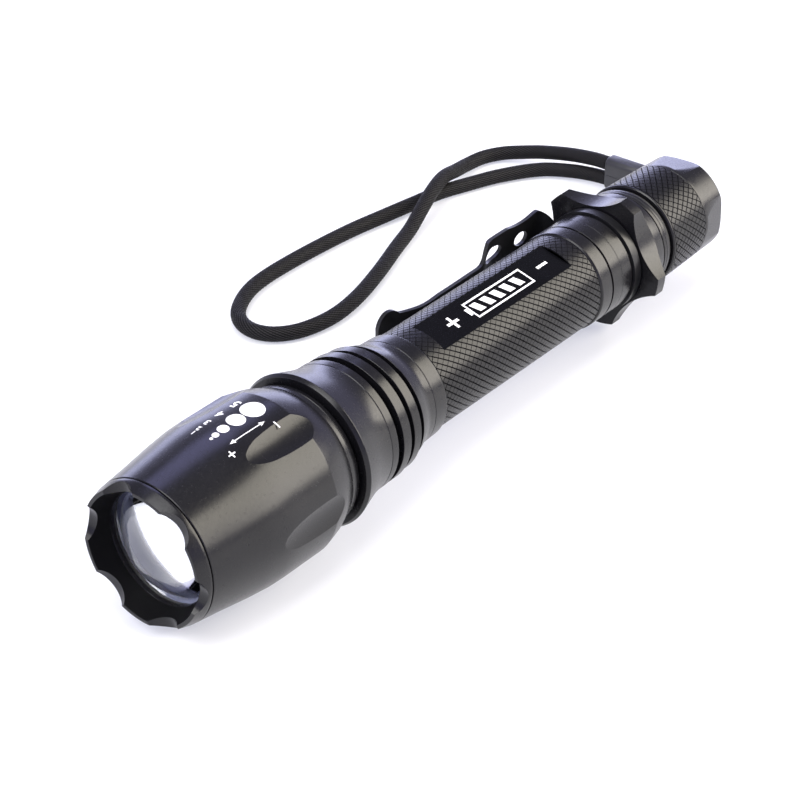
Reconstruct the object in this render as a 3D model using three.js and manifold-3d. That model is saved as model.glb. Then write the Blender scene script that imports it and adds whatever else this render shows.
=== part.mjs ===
// A zoom torch for two cells in line, with pocket clip, anti-roll ring and wrist lanyard.
// Millimetres, +Z up. The torch lies along X with its lens towards +X, on the plane z = 0.
// Stations are distances along the axis from the tail rim; angles turn from +Y towards +Z.
import * as THREE from 'three';
import { mergeVertices } from 'three/addons/utils/BufferGeometryUtils.js';
import Module from 'manifold-3d';

const wasm = await Module();
wasm.setup();

// ---------- driving dimensions ----------
const LENGTH = 207.6;
const GAP = 0.3;              // clearance between neighbouring pieces
const ROUND = 36;             // sides of the large turned pieces
const SMALL_ROUND = 20;       // sides of the small turned pieces
const HEAD_RADIUS = 20.1;
const TUBE_RADIUS = 12.7;     // one inch grip tube
const TUBE_BORE = 9.7;
const CELL = { radius: 9.2, length: 65.2, tipRadius: 4.3, tipHeight: 1.5, start: 21.8 };

const NECK = {
  rear: 120.1, front: 155.9, collar: 19.0, waist: 16.4, finDepth: 13.5, thread: 11.6, pocket: 12.9,
};
const NECK_GROOVES = [[131.3, 133.1], [135.6, 137.3], [140.0, 142.0]];
const HEAD = { rear: 156.6, edge: 167.6, seam: 204.0, bore: 14.95, cavity: 16.2, boreEnd: 176 };
const FLUTE = {
  count: 6, first: 59, station: 171, distance: 32, halfLength: 42.3, halfWidth: 12.75, halfDepth: 12.8,
};
const BEZEL = { rear: 204.3, rim: 207.6, rearRadius: 17.35, rimRadius: 16.5, thread: 15.6 };
const SCALLOP = { count: 6, first: 50, depth: 2.3, radius: 5.7 };
const LENS = { rear: 197.8, edge: 199.6, flange: 15.4, radius: 13.3, apex: 207.0, curvature: 12.2 };
const HOLDER = { rear: 148.3, thread: 12.6, step: 156.2, radius: 14.5, flange: 15.8, platform: 189 };
const ZOOM_RING_STATIONS = [167.6, 172.6];

const PANEL = { rear: 63.4, front: 114.5, distance: 11.7, angle: 75.3 };
const SEAT = { thread: 11.0, ring: 11.6, clip: 12.2, shoulder: 13.1 };
const LOBES = {
  count: 5, first: 64, tip: 18.6, tipHalfAngle: 7.5, valley: 14.2, rear: 29.9, front: 40.4, bore: 11.9,
};
const CLIP = { rear: 40.9, front: 43.5, inner: 12.5, outer: 13.7, thickness: 1.0, tip: 106 };
// Openings of the clip's base, each one twice, above and below its middle line.
const CLIP_HOLES = [
  { station: 63.9, height: 5.5, halfLength: 4.4, halfHeight: 1.7 },
  { station: 51.3, height: 4.6, halfLength: 2.7, halfHeight: 1.8 },
];
const CAP = {
  front: 25.6, radius: 13.95, rim: 13.3, recess: 9.5, recessDepth: 3.5, button: 6.9, bore: 10.6,
  thread: 11.4,
};
const CAP_FLATS = { count: 4, first: 2, distance: 11.9, length: 9 };
const LED = { board: 189.3, boardFront: 190.9, boardRadius: 8, ring: 191.2, ringFront: 192.6, ringHole: 3.9 };
const DRIVER = { ring: 155.0, ringFront: 157.3, board: 157.6, radius: 10.6, hole: 8.6 };
const SWITCH = {
  rim: 5.8, rimFront: 6.8, washer: 7.1, washerFront: 7.9, rear: 8.2, front: 13.0, board: 13.3, ring: 14.8,
  ringFront: 16.8, ringHole: 7.6, radius: 10.3,
};
const BOOT = { radius: 6.4, crown: 1.4, base: 5.0, wall: 1.6 };
const BOARD_THICKNESS = 1.2;
const WIRE = 0.45;            // spring wire radius

const CORD = { radius: 2.0, steps: 34, sides: 10 };
const STRING = { radius: 0.6, steps: 46, sides: 8 };
const SLEEVE = { x: -27.8, mouth: -41.6, rear: -26, height: 9.8, width: 5.4 };

// The head rests on one flat of its many-sided outline.
const AXIS_HEIGHT = HEAD_RADIUS * Math.cos(Math.PI / ROUND);

// Middle of the cord from the lower hole of the sleeve, round the loop and back to the upper one:
// station, distance to the side, height above the ground.
const CORD_ROUTE = [
  [-27.8, -41.9, 2.6], [-27.6, -46.5, 2.4], [-26.0, -53.0, 2.2], [-21.3, -60.8, 2.1], [-10.9, -67.7, 2.1],
  [-0.4, -71.9, 2.1], [8.6, -74.9, 2.1], [19.6, -76.8, 2.1], [30.6, -78.5, 2.1], [41.8, -80.1, 2.1],
  [53.7, -81.0, 2.1], [66.2, -81.4, 2.1], [76.7, -81.1, 2.1], [84.1, -79.9, 2.1], [90.9, -77.2, 2.1],
  [96.3, -73.5, 2.1], [99.4, -68.9, 2.1], [100.0, -63.9, 2.1], [97.8, -59.2, 2.1], [92.2, -55.4, 2.1],
  [82.2, -53.6, 2.1], [70.9, -54.9, 2.1], [57.1, -58.8, 2.1], [41.8, -64.2, 2.1], [32.1, -67.2, 2.6],
  [23.6, -69.8, 4.6], [15.4, -72.3, 6.4], [6.9, -75.1, 6.2], [-2.6, -77.7, 3.9], [-10.4, -79.3, 2.4],
  [-17.3, -78.8, 2.1], [-22.6, -75.5, 2.4], [-25.8, -70.3, 3.1], [-27.5, -64.5, 4.2], [-28.3, -55.4, 5.9],
  [-28.0, -46.8, 7.2], [-27.8, -41.9, 7.4],
];

// Middle of the string: out of the sleeve, along the ground, through the lobe and back over its tip.
const STRING_ROUTE = [
  [-27.8, -25.7, 3.6], [-27.2, -22.6, 2.8], [-24.6, -19.8, 1.6], [-19.0, -18.1, 0.8], [-8.0, -17.6, 0.8],
  [6.0, -17.8, 0.8], [16.0, -17.2, 2.0], [24.0, -16.0, 5.6], [30.0, -14.9, 10.2], [34.0, -14.3, 12.2],
  [37.5, -14.3, 12.4], [40.8, -14.4, 12.4], [41.5, -15.2, 11.8], [41.6, -16.8, 10.9], [40.8, -18.1, 10.3],
  [37.5, -18.2, 10.2], [33.5, -18.4, 8.6], [27.5, -19.0, 5.2], [20.5, -19.7, 2.2], [12.0, -20.2, 0.8],
  [0.0, -20.4, 0.8], [-12.0, -20.6, 0.8], [-20.6, -21.2, 1.6], [-25.6, -22.6, 3.6], [-27.8, -25.7, 6.0],
];

// ---------- finishes ----------
function finish(color, roughness, metalness) {
  return new THREE.MeshStandardMaterial({ color, roughness, metalness });
}

const ANODISED = finish(0x1c1c20, 0.42, 0.7);
const BLACK_STEEL = finish(0x121214, 0.38, 0.8);
const RUBBER = finish(0x0e0e0f, 0.85, 0);
const CLEAR = finish(0xdfe8f2, 0.05, 0);
const WHITE_PLASTIC = finish(0xe8e8e4, 0.5, 0);
const BRASS = finish(0xb8953f, 0.35, 1);
const ALUMINIUM = finish(0xc4c6c9, 0.35, 1);
const STEEL = finish(0xb9bcc0, 0.3, 1);
const BOARD = finish(0x1d5c38, 0.5, 0.1);
const EMITTER = finish(0xf2d24a, 0.4, 0);
const BLACK_PLASTIC = finish(0x161618, 0.5, 0);
const CELL_WRAP = finish(0x3565a8, 0.4, 0);
const RED_WIRE = finish(0xa82218, 0.5, 0);
const BRAID = finish(0x17171a, 0.9, 0);

// ---------- helpers ----------
const rad = THREE.MathUtils.degToRad;

const torch = new THREE.Group();
torch.position.set(-LENGTH / 2, 0, AXIS_HEIGHT);

function addPiece(name, geometry, material) {
  const mesh = new THREE.Mesh(geometry, material);
  mesh.name = name;
  torch.add(mesh);
}

// Shares the vertices, drops flat triangles and turns every face outwards.
function closedBody(geometry) {
  const bare = geometry.clone();
  bare.deleteAttribute('normal');
  bare.deleteAttribute('uv');
  const merged = mergeVertices(bare, 1e-4);
  const corners = merged.index.array;
  const at = merged.attributes.position;
  const a = new THREE.Vector3();
  const b = new THREE.Vector3();
  const c = new THREE.Vector3();
  const kept = [];
  let volume = 0;
  for (let i = 0; i < corners.length; i += 3) {
    const [p, q, r] = [corners[i], corners[i + 1], corners[i + 2]];
    if (p === q || q === r || r === p) continue;
    kept.push(p, q, r);
    b.fromBufferAttribute(at, q).cross(c.fromBufferAttribute(at, r));
    volume += a.fromBufferAttribute(at, p).dot(b);
  }
  if (volume < 0) kept.reverse();
  merged.setIndex(kept);
  return merged;
}

function solid(geometry) {
  const body = closedBody(geometry);
  const vertProperties = Float32Array.from(body.attributes.position.array);
  const triVerts = Uint32Array.from(body.index.array);
  return new wasm.Manifold(new wasm.Mesh({ numProp: 3, vertProperties, triVerts }));
}

function geometryOf(manifold) {
  const mesh = manifold.getMesh();
  const geometry = new THREE.BufferGeometry();
  geometry.setAttribute('position', new THREE.BufferAttribute(mesh.vertProperties, 3));
  geometry.setIndex(new THREE.BufferAttribute(mesh.triVerts, 1));
  return geometry;
}

function cut(geometry, ...cutters) {
  return geometryOf(cutters.reduce((body, cutter) => body.subtract(solid(cutter)), solid(geometry)));
}

// A turned piece; the profile lists [station, radius] and starts and ends on the axis.
function turned(profile, sides = ROUND) {
  const points = profile.map(([station, radius]) => new THREE.Vector2(radius, station));
  const geometry = new THREE.LatheGeometry(points, sides, Math.PI / sides);
  geometry.rotateZ(-Math.PI / 2);
  return closedBody(geometry);
}

// A turned piece with a hole; its profile closes on itself.
function turnedRing(profile, sides = ROUND) {
  return turned([...profile, profile[0]], sides);
}

function washer(rear, front, inner, outer, sides = SMALL_ROUND) {
  return turnedRing([[rear, inner], [rear, outer], [front, outer], [front, inner]], sides);
}

function disc(rear, front, radius, sides = SMALL_ROUND) {
  return turned([[rear, 0], [rear, radius], [front, radius], [front, 0]], sides);
}

// An O-ring with a six-sided section.
function sealRing(station, middleRadius, sectionRadius, sides = ROUND) {
  const section = [];
  for (let i = 0; i < 6; i += 1) {
    const turn = i * Math.PI / 3;
    section.push([station + sectionRadius * Math.sin(turn), middleRadius + sectionRadius * Math.cos(turn)]);
  }
  return turnedRing(section, sides);
}

// A round bar along X at a place beside the axis.
function barAlongAxis(rear, front, y, z, radius, sides = 12) {
  const bar = new THREE.CylinderGeometry(radius, radius, front - rear, sides);
  bar.rotateZ(-Math.PI / 2);
  bar.translate((rear + front) / 2, y, z);
  return bar;
}

// A flat outline drawn in (y, z) and given thickness from rear to front.
function plateAcrossAxis(shape, rear, front, curveSegments = 8) {
  const depth = front - rear;
  const plate = new THREE.ExtrudeGeometry(shape, { depth, bevelEnabled: false, curveSegments });
  const toAxis = new THREE.Matrix4().makeBasis(
    new THREE.Vector3(0, 1, 0), new THREE.Vector3(0, 0, 1), new THREE.Vector3(1, 0, 0));
  plate.applyMatrix4(toAxis);
  plate.translate(rear, 0, 0);
  return plate;
}

function roundTube(curve, radius, steps, sides) {
  const section = new THREE.Shape();
  for (let i = 0; i < sides; i += 1) {
    const turn = (2 * Math.PI * i) / sides;
    const corner = [radius * Math.cos(turn), radius * Math.sin(turn)];
    if (i === 0) section.moveTo(...corner);
    else section.lineTo(...corner);
  }
  section.closePath();
  return closedBody(new THREE.ExtrudeGeometry(section, { steps, extrudePath: curve }));
}

// A smooth line through points given with their height above the ground.
function groundCurve(route) {
  const points = route.map(([x, y, height]) => new THREE.Vector3(x, y, height - AXIS_HEIGHT));
  return new THREE.CatmullRomCurve3(points);
}

// A coil spring along the axis whose radius may change from end to end.
class CoilCurve extends THREE.Curve {
  constructor(rear, front, rearRadius, frontRadius, turns) {
    super();
    Object.assign(this, { rear, front, rearRadius, frontRadius, turns });
  }

  getPoint(t, target = new THREE.Vector3()) {
    const turn = 2 * Math.PI * this.turns * t;
    const radius = THREE.MathUtils.lerp(this.rearRadius, this.frontRadius, t);
    const station = THREE.MathUtils.lerp(this.rear, this.front, t);
    return target.set(station, radius * Math.cos(turn), radius * Math.sin(turn));
  }
}

// ---------- grip tube ----------
function bodyTube() {
  const tube = turnedRing([
    [17.8, TUBE_BORE], [17.8, SEAT.thread], [25.6, SEAT.thread], [25.6, 11.3], [27.2, 11.3], [27.2, SEAT.ring],
    [40.7, SEAT.ring], [40.7, SEAT.clip], [44.0, SEAT.clip], [44.0, SEAT.shoulder], [52.1, SEAT.shoulder],
    [52.1, 12.5], [52.7, 12.5], [52.7, SEAT.shoulder], [57.0, SEAT.shoulder], [57.3, TUBE_RADIUS],
    [119.8, TUBE_RADIUS], [119.8, 11.2], [121.6, 11.2], [121.6, 10.4], [123.4, 10.4], [123.4, 11.2],
    [130.5, 11.2], [130.5, TUBE_BORE],
  ]);
  const depth = 6;
  const block = new THREE.BoxGeometry(PANEL.front - PANEL.rear, depth, 3 * TUBE_RADIUS);
  block.translate((PANEL.front + PANEL.rear) / 2, PANEL.distance + depth / 2, 0);
  block.rotateX(rad(PANEL.angle));
  return cut(tube, block);
}

// ---------- finned neck ----------
function neck() {
  const outline = [
    [NECK.rear, TUBE_RADIUS + 0.2], [NECK.rear + 0.4, 13.3], [126.8, 13.6], [129.2, 14.3],
    [NECK_GROOVES[0][0], 15.1],
  ];
  const finRadii = [15.85, 16.3, NECK.waist];
  let crest = 15.1;
  NECK_GROOVES.forEach(([rear, front], i) => {
    if (i > 0) outline.push([rear, crest]);
    outline.push([rear, NECK.finDepth], [front, NECK.finDepth], [front, finRadii[i]]);
    crest = finRadii[i];
  });
  outline.push([147.5, 16.8], [151.4, 17.9], [155.0, NECK.collar], [NECK.front, 18.4]);
  outline.push([NECK.front, NECK.pocket], [148.0, NECK.pocket], [148.0, TUBE_BORE], [131.0, TUBE_BORE]);
  outline.push([131.0, NECK.thread], [NECK.rear, NECK.thread]);
  return turnedRing(outline);
}

// ---------- sliding head ----------
function headShell() {
  const shell = turnedRing([
    [HEAD.rear, HEAD.bore], [HEAD.rear, 16.9], [158.2, 17.4], [159.4, 17.5], [163.4, 19.1],
    [HEAD.edge, HEAD_RADIUS],
    [180, HEAD_RADIUS], [189.8, 19.25], [197.4, 18.15], [HEAD.seam, BEZEL.rearRadius], [HEAD.seam, 15.9],
    [LENS.rear - GAP, 15.9], [LENS.rear - GAP, 13.2], [196, 13.2], [195, HEAD.cavity],
    [HEAD.boreEnd, HEAD.cavity], [HEAD.boreEnd, HEAD.bore],
  ]);
  const flutes = [];
  for (let i = 0; i < FLUTE.count; i += 1) {
    const cutter = new THREE.SphereGeometry(1, 36, 24);
    cutter.scale(FLUTE.halfLength, FLUTE.halfDepth, FLUTE.halfWidth);
    cutter.translate(FLUTE.station, FLUTE.distance, 0);
    cutter.rotateX(rad(FLUTE.first + i * 360 / FLUTE.count));
    flutes.push(cutter);
  }
  return cut(shell, ...flutes);
}

function bezel() {
  const ring = turnedRing([
    [201.2, 13.7], [201.2, BEZEL.thread], [BEZEL.rear, BEZEL.thread], [BEZEL.rear, BEZEL.rearRadius],
    [BEZEL.rim, BEZEL.rimRadius], [BEZEL.rim, 15.6], [202.6, 13.7],
  ]);
  const scallops = [];
  for (let i = 0; i < SCALLOP.count; i += 1) {
    const cutter = new THREE.CylinderGeometry(SCALLOP.radius, SCALLOP.radius, 10, 24);
    cutter.translate(BEZEL.rim + SCALLOP.radius - SCALLOP.depth, BEZEL.rimRadius, 0);
    cutter.rotateX(rad(SCALLOP.first + i * 360 / SCALLOP.count));
    scallops.push(cutter);
  }
  return cut(ring, ...scallops);
}

function frontLens() {
  const outline = [[LENS.rear, 0], [LENS.rear, LENS.flange], [LENS.edge, LENS.flange], [LENS.edge, LENS.radius]];
  const steps = 7;
  for (let i = 0; i <= steps; i += 1) {
    const radius = LENS.radius * (1 - i / steps);
    outline.push([LENS.apex - radius ** 2 / (2 * LENS.curvature), radius]);
  }
  return turned(outline);
}

// ---------- LED holder and electronics ----------
const LEAD_OFFSET = 6.0;

function ledHolder() {
  const groove = { half: 1.0, radius: 13.1 };
  const grooves = ZOOM_RING_STATIONS.flatMap((station) => [
    [station - groove.half, HOLDER.radius], [station - groove.half, groove.radius],
    [station + groove.half, groove.radius], [station + groove.half, HOLDER.radius]]);
  const holder = turnedRing([
    [HOLDER.rear, 11.0], [HOLDER.rear, HOLDER.thread], [HOLDER.step, HOLDER.thread],
    [HOLDER.step, HOLDER.radius],
    ...grooves, [186.6, HOLDER.radius], [186.6, HOLDER.flange], [HOLDER.platform, HOLDER.flange],
    [HOLDER.platform, 1.2], [186.0, 1.2], [186.0, 10.0], [160.0, 10.0], [159.5, 11.0],
  ], 24);
  const leadHoles = [1, -1].map((side) => barAlongAxis(184, 191, side * LEAD_OFFSET, 0, 1.1));
  return cut(holder, ...leadHoles);
}

function ledEmitter() {
  const chip = { station: 191.7, thickness: 1.0, width: 5 };
  const dome = { rear: 191.5, base: 192.2, height: 1.7, radius: 2.0 };
  const base = new THREE.BoxGeometry(chip.thickness, chip.width, chip.width);
  base.translate(chip.station, 0, 0);
  const domeProfile = [[dome.rear, 0], [dome.rear, dome.radius]];
  const steps = 4;
  for (let i = 0; i <= steps; i += 1) {
    const turn = (Math.PI / 2) * (i / steps);
    domeProfile.push([dome.base + dome.height * Math.sin(turn), dome.radius * Math.cos(turn)]);
  }
  domeProfile[domeProfile.length - 1][1] = 0;
  return geometryOf(solid(base).add(solid(turned(domeProfile, 16))));
}

function ledLead(side) {
  const y = side * LEAD_OFFSET;
  return barAlongAxis(159.5, HOLDER.platform, y, 0, 0.6, 8);
}

// ---------- cells ----------
function cell(start) {
  const shoulder = start + CELL.length - CELL.tipHeight;
  const end = start + CELL.length;
  return turned([
    [start, 0], [start, CELL.radius - 0.5], [start + 0.5, CELL.radius], [shoulder - 3.4, CELL.radius],
    [shoulder - 2.9, CELL.radius - 0.4], [shoulder - 2.3, CELL.radius - 0.4], [shoulder - 1.8, CELL.radius],
    [shoulder, CELL.radius - 0.5], [shoulder, CELL.tipRadius], [end, CELL.tipRadius - 0.4], [end, 0],
  ], SMALL_ROUND);
}

// ---------- rings behind the grip ----------
function lobedOutline() {
  const outline = new THREE.Shape();
  const pitch = 2 * Math.PI / LOBES.count;
  const half = rad(LOBES.tipHalfAngle);
  // Each valley is an arc through two tip corners that touches the valley radius midway between them.
  const cornerX = LOBES.tip * Math.cos(pitch / 2 - half);
  const cornerY = LOBES.tip * Math.sin(pitch / 2 - half);
  const rise = cornerX - LOBES.valley;
  const arcRadius = (rise * rise + cornerY * cornerY) / (2 * rise);
  const spread = Math.asin(cornerY / arcRadius);
  for (let i = 0; i < LOBES.count; i += 1) {
    const lobe = rad(LOBES.first) + i * pitch;
    const valley = lobe + pitch / 2;
    const start = [LOBES.tip * Math.cos(lobe - half), LOBES.tip * Math.sin(lobe - half)];
    if (i === 0) outline.moveTo(...start);
    else outline.lineTo(...start);
    const centre = LOBES.valley + arcRadius;
    outline.absarc(centre * Math.cos(valley), centre * Math.sin(valley), arcRadius,
      valley + Math.PI + spread, valley + Math.PI - spread, true);
  }
  outline.closePath();
  return outline;
}

const STRING_HOLE = { angle: -152, distance: 16.2, radius: 1.1 };

function antiRollRing() {
  const prism = plateAcrossAxis(lobedOutline(), LOBES.rear, LOBES.front);
  const turnedBody = turnedRing([
    [LOBES.rear, LOBES.bore], [LOBES.rear, 13.5], [33.0, 13.5], [37.4, LOBES.tip + 0.2],
    [LOBES.front, LOBES.tip + 0.2], [LOBES.front, LOBES.bore],
  ]);
  const angle = rad(STRING_HOLE.angle);
  const hole = barAlongAxis(LOBES.rear - 1, LOBES.front + 1, STRING_HOLE.distance * Math.cos(angle),
    STRING_HOLE.distance * Math.sin(angle), STRING_HOLE.radius);
  return geometryOf(solid(prism).intersect(solid(turnedBody)).subtract(solid(hole)));
}

// Side view of the clip's strip: a line offset by half the sheet on each side.
function clipStrip() {
  const line = new THREE.SplineCurve([
    [41.4, -13.2], [42.3, -14.4], [43.3, -15.9], [44.8, -16.7], [48.0, -16.8], [63.5, -16.8],
    [66.5, -16.0], [69.5, -14.9], [74.0, -14.6], [91.0, -14.3], [95.0, -14.9], [100.0, -17.2],
    [CLIP.tip, -19.3],
  ].map(([x, y]) => new THREE.Vector2(x, y)));
  const steps = 26;
  const left = [];
  const right = [];
  for (let i = 0; i <= steps; i += 1) {
    const at = line.getPointAt(i / steps);
    const side = line.getTangentAt(i / steps).rotateAround(new THREE.Vector2(), Math.PI / 2);
    left.push(at.clone().addScaledVector(side, CLIP.thickness / 2));
    right.unshift(at.clone().addScaledVector(side, -CLIP.thickness / 2));
  }
  const outline = new THREE.Shape([...left, ...right]);
  const strip = new THREE.ExtrudeGeometry(outline, { depth: 24, bevelEnabled: false });
  strip.translate(0, 0, -12);
  return strip;
}

// Front view of the strip in (x, z): wide base, narrow arm and round tip.
function clipOutline() {
  const root = { rear: 40, front: 41.2, half: 5.5 };
  const heel = { station: 44.4, half: 9.8, control: 42.8 };
  const waist = { station: 50.5, half: 8.2 };
  const base = { rear: 56.5, front: 65.6, half: 9.5 };
  const arm = { rear: 70.5, front: 88, half: 5.4 };
  const neckStation = 98;
  const neckHalf = 4.6;
  const tip = { station: CLIP.tip - 3.6, halfLength: 3.6, halfHeight: 5.9, open: 0.93 };
  const outline = new THREE.Shape();
  outline.moveTo(root.rear, -root.half);
  outline.lineTo(root.front, -root.half);
  outline.quadraticCurveTo(heel.control, -heel.half, heel.station, -heel.half);
  outline.quadraticCurveTo(waist.station, -waist.half, base.rear, -base.half);
  outline.lineTo(base.front, -base.half);
  outline.lineTo(arm.rear, -arm.half);
  outline.lineTo(arm.front, -arm.half);
  outline.lineTo(neckStation, -neckHalf);
  const turn = Math.PI - tip.open;
  outline.absellipse(tip.station, 0, tip.halfLength, tip.halfHeight, -turn, turn, false);
  outline.lineTo(neckStation, neckHalf);
  outline.lineTo(arm.front, arm.half);
  outline.lineTo(arm.rear, arm.half);
  outline.lineTo(base.front, base.half);
  outline.lineTo(base.rear, base.half);
  outline.quadraticCurveTo(waist.station, waist.half, heel.station, heel.half);
  outline.quadraticCurveTo(heel.control, heel.half, root.front, root.half);
  outline.lineTo(root.rear, root.half);
  outline.closePath();
  return outline;
}

function sidePlate(shape, curveSegments) {
  const plate = new THREE.ExtrudeGeometry(shape, { depth: 16, bevelEnabled: false, curveSegments });
  plate.applyMatrix4(new THREE.Matrix4().makeBasis(
    new THREE.Vector3(1, 0, 0), new THREE.Vector3(0, 0, 1), new THREE.Vector3(0, -1, 0)));
  plate.translate(0, -8, 0);
  return plate;
}

function ovalHole(station, height, halfLength, halfHeight) {
  const oval = new THREE.Shape();
  oval.absellipse(station, height, halfLength, halfHeight, 0, 2 * Math.PI);
  return sidePlate(oval, 6);
}

function pocketClip() {
  const opening = rad(-120);
  const halfOpening = rad(14);
  const arc = new THREE.Shape();
  arc.absarc(0, 0, CLIP.outer, opening + halfOpening, opening - halfOpening + 2 * Math.PI, false);
  arc.absarc(0, 0, CLIP.inner, opening - halfOpening + 2 * Math.PI, opening + halfOpening, true);
  arc.closePath();
  const ring = plateAcrossAxis(arc, CLIP.rear, CLIP.front, 28);
  const strip = solid(clipStrip()).intersect(solid(sidePlate(clipOutline(), 6)));
  let clip = solid(ring).add(strip);
  CLIP_HOLES.forEach(({ station, height, halfLength, halfHeight }) => {
    clip = clip.subtract(solid(ovalHole(station, height, halfLength, halfHeight)));
    clip = clip.subtract(solid(ovalHole(station, -height, halfLength, halfHeight)));
  });
  return geometryOf(clip);
}

// ---------- tailcap and switch ----------
function tailcapShell() {
  const shell = turnedRing([
    [0, CAP.recess], [0, 12.1], [1.2, CAP.rim], [9.2, 13.5], [10.0, 13.55], [24.9, CAP.radius],
    [CAP.front, 13.6], [CAP.front, CAP.thread], [16.0, CAP.thread], [16.0, CAP.bore], [5.5, CAP.bore],
    [5.5, CAP.button],
    [CAP.recessDepth, CAP.button], [CAP.recessDepth, CAP.recess],
  ]);
  const cutters = [];
  for (let i = 0; i < CAP_FLATS.count; i += 1) {
    const block = new THREE.BoxGeometry(2 * CAP_FLATS.length, 6, 30);
    block.translate(0, 3, 0);
    block.rotateZ(Math.atan2(CAP.rim - CAP_FLATS.distance, CAP_FLATS.length));
    block.translate(0, CAP_FLATS.distance, 0);
    block.rotateX(rad(CAP_FLATS.first + i * 360 / CAP_FLATS.count));
    cutters.push(block);
  }
  return cut(shell, ...cutters);
}

function buttonDome() {
  const { radius, crown, base, wall } = BOOT;
  return turned([
    [crown, 0], [crown + 0.15, 2.4], [crown + 0.7, 4.7], [crown + 1.6, 6.0], [crown + 2.4, radius],
    [base, radius], [base, radius - wall], [crown + 2.4, radius - wall], [crown + wall, 3.6],
    [crown + wall, 0],
  ], SMALL_ROUND);
}

function clickSwitch() {
  const plungerHole = { radius: 2.3, end: 11.2 };
  return turned([
    [plungerHole.end, 0], [plungerHole.end, plungerHole.radius], [SWITCH.rear, plungerHole.radius],
    [SWITCH.rear, 5.6], [SWITCH.rear + 0.6, 6.2], [SWITCH.front, 6.2], [SWITCH.front, 0],
  ], SMALL_ROUND);
}

function threadedRing(rear, front, inner, outer) {
  const slots = [0, 90].map((angle) => {
    const slot = new THREE.BoxGeometry(0.8, 3 * outer, 1.4);
    slot.rotateX(rad(angle));
    slot.translate(rear, 0, 0);
    return slot;
  });
  return cut(washer(rear, front, inner, outer), ...slots);
}

// ---------- lanyard ----------
function cord(route, { radius, steps, sides }) {
  return roundTube(groundCurve(route), radius, steps, sides);
}

function lanyardSleeve() {
  const { x, mouth, rear, height, width } = SLEEVE;
  const corner = 1.6;
  const section = new THREE.Shape();
  const [w, h] = [width / 2 - corner, height / 2 - corner];
  section.absarc(w, h, corner, 0, Math.PI / 2, false);
  section.absarc(-w, h, corner, Math.PI / 2, Math.PI, false);
  section.absarc(-w, -h, corner, Math.PI, 1.5 * Math.PI, false);
  section.absarc(w, -h, corner, 1.5 * Math.PI, 2 * Math.PI, false);
  section.closePath();
  const depth = rear - mouth;
  const sleeve = new THREE.ExtrudeGeometry(section, { depth, bevelEnabled: false, curveSegments: 3 });
  sleeve.rotateX(Math.PI / 2);
  sleeve.translate(x, rear, height / 2 + 0.1 - AXIS_HEIGHT);
  return sleeve;
}

// ---------- assembly ----------
addPiece('body_tube', bodyTube(), ANODISED);
addPiece('neck', neck(), ANODISED);
addPiece('neck_o_ring', sealRing(122.5, 10.95, 0.4, 24), RUBBER);
addPiece('head_shell', headShell(), ANODISED);
addPiece('bezel', bezel(), ANODISED);
addPiece('front_lens', frontLens(), CLEAR);
addPiece('lens_gasket', sealRing(200.4, 14.55, 0.48, 24), RUBBER);
ZOOM_RING_STATIONS.forEach((station, i) => {
  addPiece(`zoom_o_ring_${i + 1}`, sealRing(station, 14.0, 0.6, 24), RUBBER);
});
addPiece('led_holder', ledHolder(), ALUMINIUM);
addPiece('led_board', disc(LED.board, LED.boardFront, LED.boardRadius), WHITE_PLASTIC);
addPiece('led_emitter', ledEmitter(), EMITTER);
addPiece('led_centring_ring', washer(LED.ring, LED.ringFront, LED.ringHole, LED.boardRadius), WHITE_PLASTIC);
addPiece('led_lead_positive', ledLead(1), RED_WIRE);
addPiece('led_lead_negative', ledLead(-1), BLACK_PLASTIC);
addPiece('driver_board', disc(DRIVER.board, DRIVER.board + BOARD_THICKNESS, DRIVER.radius), BOARD);
addPiece('driver_ring', threadedRing(DRIVER.ring, DRIVER.ringFront, DRIVER.hole, DRIVER.radius), BRASS);
addPiece('driver_spring', roundTube(new CoilCurve(153.3, 156.8, 2.6, 4.4, 3), WIRE, 28, 6), STEEL);
addPiece('cell_rear', cell(CELL.start), CELL_WRAP);
addPiece('cell_front', cell(CELL.start + CELL.length + GAP), CELL_WRAP);
addPiece('pocket_clip', pocketClip(), BLACK_STEEL);
addPiece('anti_roll_ring', antiRollRing(), ANODISED);
addPiece('lock_ring', washer(27.5, 29.6, LOBES.bore, 13.5, ROUND), ANODISED);
addPiece('tail_o_ring', sealRing(26.55, 12.35, 0.68), RUBBER);
addPiece('tailcap_shell', tailcapShell(), ANODISED);
addPiece('button_dome', buttonDome(), RUBBER);
addPiece('button_plunger', disc(BOOT.crown + BOOT.wall + GAP, SWITCH.rear + 0.6, 2.0, 16), BLACK_PLASTIC);
addPiece('button_rim', washer(SWITCH.rim, SWITCH.rimFront, BOOT.radius + 0.5, SWITCH.radius), RUBBER);
addPiece('button_washer', washer(SWITCH.washer, SWITCH.washerFront, 3.0, SWITCH.radius), STEEL);
addPiece('click_switch', clickSwitch(), BLACK_PLASTIC);
addPiece('switch_board', disc(SWITCH.board, SWITCH.board + BOARD_THICKNESS, SWITCH.radius), BOARD);
addPiece('switch_ring', threadedRing(SWITCH.ring, SWITCH.ringFront, SWITCH.ringHole, SWITCH.radius), BRASS);
addPiece('tail_spring', roundTube(new CoilCurve(15.3, 21.0, 5.6, 3.2, 4), WIRE, 38, 6), STEEL);
addPiece('lanyard_string', cord(STRING_ROUTE, STRING), BRAID);
addPiece('lanyard_sleeve', lanyardSleeve(), BLACK_PLASTIC);
addPiece('lanyard_cord', cord(CORD_ROUTE, CORD), BRAID);

export default torch;
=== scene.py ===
"""Looks of a zoom torch with a pocket clip, an anti-roll ring and a wrist lanyard, round its CAD frame.

Lengths are in millimetres until MM turns them into metres. A station is a distance along the axis from
the tail rim, and an angle turns about the axis from +Y towards +Z.
"""
import math

import bmesh
import bpy
from mathutils import Matrix, Vector


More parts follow.
